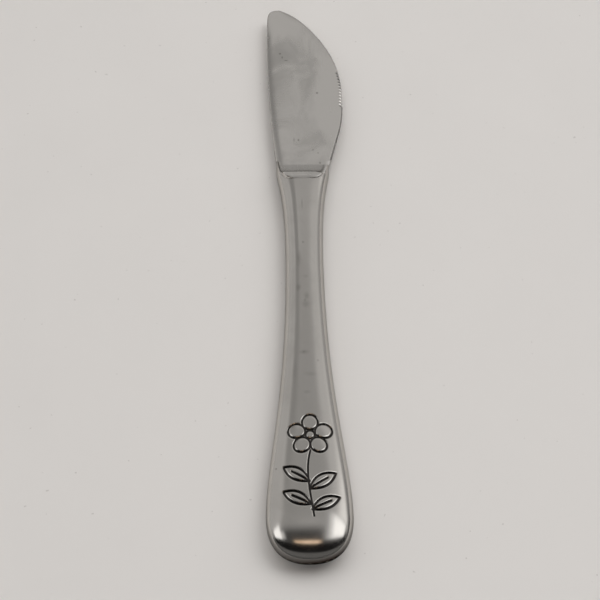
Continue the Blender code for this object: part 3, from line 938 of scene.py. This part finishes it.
table_tree.links.new(table_rough, table_shader.inputs["Roughness"])
mesh.materials.append(table_top)
bpy.context.scene.collection.objects.link(table)

# Light. A dim room with soft bright and dark panels round the table, which the steel mirrors; they are
# painted on the sky one over the other. Three area lamps, unseen in the steel, light the table and cast
# the knife's soft shadow.
world = bpy.data.worlds.new("studio")
world.use_nodes = True
bpy.context.scene.world = world
sky = world.node_tree
sky_way = node(sky, "SeparateXYZ", {"Vector": node(sky, "TexCoord").outputs["Generated"]}).outputs
sky_height = maths(sky, "ARCSINE", sky_way["Z"])
sky_heading = maths(sky, "ARCTAN2", sky_way["X"], sky_way["Y"])
sky_side = maths(sky, "ARCSINE", sky_way["X"])
sky_arc = maths(sky, "ARCTAN2", sky_way["Z"], maths(sky, "MULTIPLY", sky_way["Y"], -1.0))


def panel(under, ways, limits, blur, colour):
    """Paints a soft-edged panel over the light so far; ways are its two angles, limits in degrees."""
    mask = None
    for way, (low, high) in zip(ways, limits):
        for edge, rising in ((low, 1.0), (high, 0.0)):
            start, end = math.radians(edge - blur), math.radians(edge + blur)
            side = ramp(sky, way, start, end, 1.0 - rising, rising)
            mask = maths(sky, "MULTIPLY", mask, side) if mask else side
    return blend_colour(sky, mask, under, colour)


def grey(value, warm=0.02):
    """A grey light, a little warmer than neutral."""
    return (value * (1 + warm), value, value * (1 - warm), 1)


AROUND = (sky_heading, sky_height)
OVERHEAD = (sky_side, sky_arc)
light = grey(0.42)
# the two angles, their limits in degrees, the blur of the edges and the colour of each panel
for ways, limits, blur, colour in (
    (AROUND, ((-75, 75), (34, 50)), 5, grey(0.52)),
    (AROUND, ((-75, 75), (52, 70)), 4, grey(0.36)),
    (AROUND, ((-75, 75), (-10, 28)), 6, grey(0.33)),
    (AROUND, ((-42, -20), (41, 53)), 4, grey(0.30)),
    (AROUND, ((-33, -17), (24, 41)), 3, grey(0.19)),
    (AROUND, ((-26, 26), (-4, 22)), 4, grey(0.38)),
    (AROUND, ((-85, -44), (-10, 36)), 5, grey(0.50)),
    (AROUND, ((22, 52), (22, 48)), 6, grey(0.55)),
    (AROUND, ((52, 75), (20, 48)), 6, grey(1.05)),
    (AROUND, ((42, 57), (1, 14)), 3, grey(0.40)),
    (AROUND, ((57, 66), (1, 14)), 3, grey(0.24)),
    (AROUND, ((66, 150), (0, 12)), 3, grey(0.08)),
    (AROUND, ((-150, -92), (-3, 10)), 3, grey(0.12)),
    (OVERHEAD, ((-76, 76), (-20, 100)), 7, grey(0.065)),
    (OVERHEAD, ((-76, 76), (-20, 43)), 3, grey(0.14)),
    (OVERHEAD, ((-76, 76), (46, 73)), 2.5, grey(0.01)),
    (OVERHEAD, ((-17, 11), (75.5, 81)), 1.5, (1.1, 0.8, 0.54, 1)),
    (OVERHEAD, ((-6, 8), (75.5, 81)), 1.5, (1.5, 1.12, 0.80, 1)),
    (OVERHEAD, ((14, 64), (82, 118)), 4, grey(0.42, 0.01)),
    (OVERHEAD, ((20, 62), (83, 116)), 4, grey(0.9, 0.01)),
    (OVERHEAD, ((27, 60), (84, 114)), 4, grey(1.5, 0.01)),
    (OVERHEAD, ((-62, -33), (82, 97)), 4, grey(0.7, 0.01)),
    (OVERHEAD, ((-70, -42), (80, 108)), 4, grey(1.45, 0.01)),
):
    light = panel(light, ways, limits, blur, colour)
sky.links.new(light, sky.nodes["Background"].inputs["Color"])

# name, place, width and power of each lamp; all of them point at the middle of the knife
for name, place, size, power in (
    ("key_panel", (0.36, 0.15, 0.70), 0.5, 0.95),
    ("top_panel", (-0.05, 0.28, 0.86), 0.9, 2.7),
    ("front_panel", (0.05, -0.70, 0.50), 0.5, 0.75),
):
    lamp = bpy.data.lights.new(name, "AREA")
    lamp.shape = "SQUARE"
    lamp.size = size
    lamp.energy = power
    holder = bpy.data.objects.new(name, lamp)
    holder.location = place
    holder.rotation_euler = (-Vector(place)).to_track_quat("-Z", "Y").to_euler()
    holder.visible_glossy = False
    bpy.context.scene.collection.objects.link(holder)

# Camera. A short telephoto held above the near end, tilted forward so that the whole knife is in view
# with its tip away from the lens. Colours go out without a film curve.
CAMERA_PLACE = (-0.004669, -0.19272, 0.24503)
CAMERA_TILT = math.radians(36)
CAMERA_TURN = math.radians(-0.8187)
camera = bpy.data.objects.new("camera", bpy.data.cameras.new("camera"))
camera.data.lens = 75
camera.data.sensor_width = 36
camera.data.clip_start = 0.01
camera.location = CAMERA_PLACE
camera.rotation_euler = (CAMERA_TILT, 0, CAMERA_TURN)
bpy.context.scene.collection.objects.link(camera)
bpy.context.scene.camera = camera
bpy.context.scene.view_settings.view_transform = "Standard"
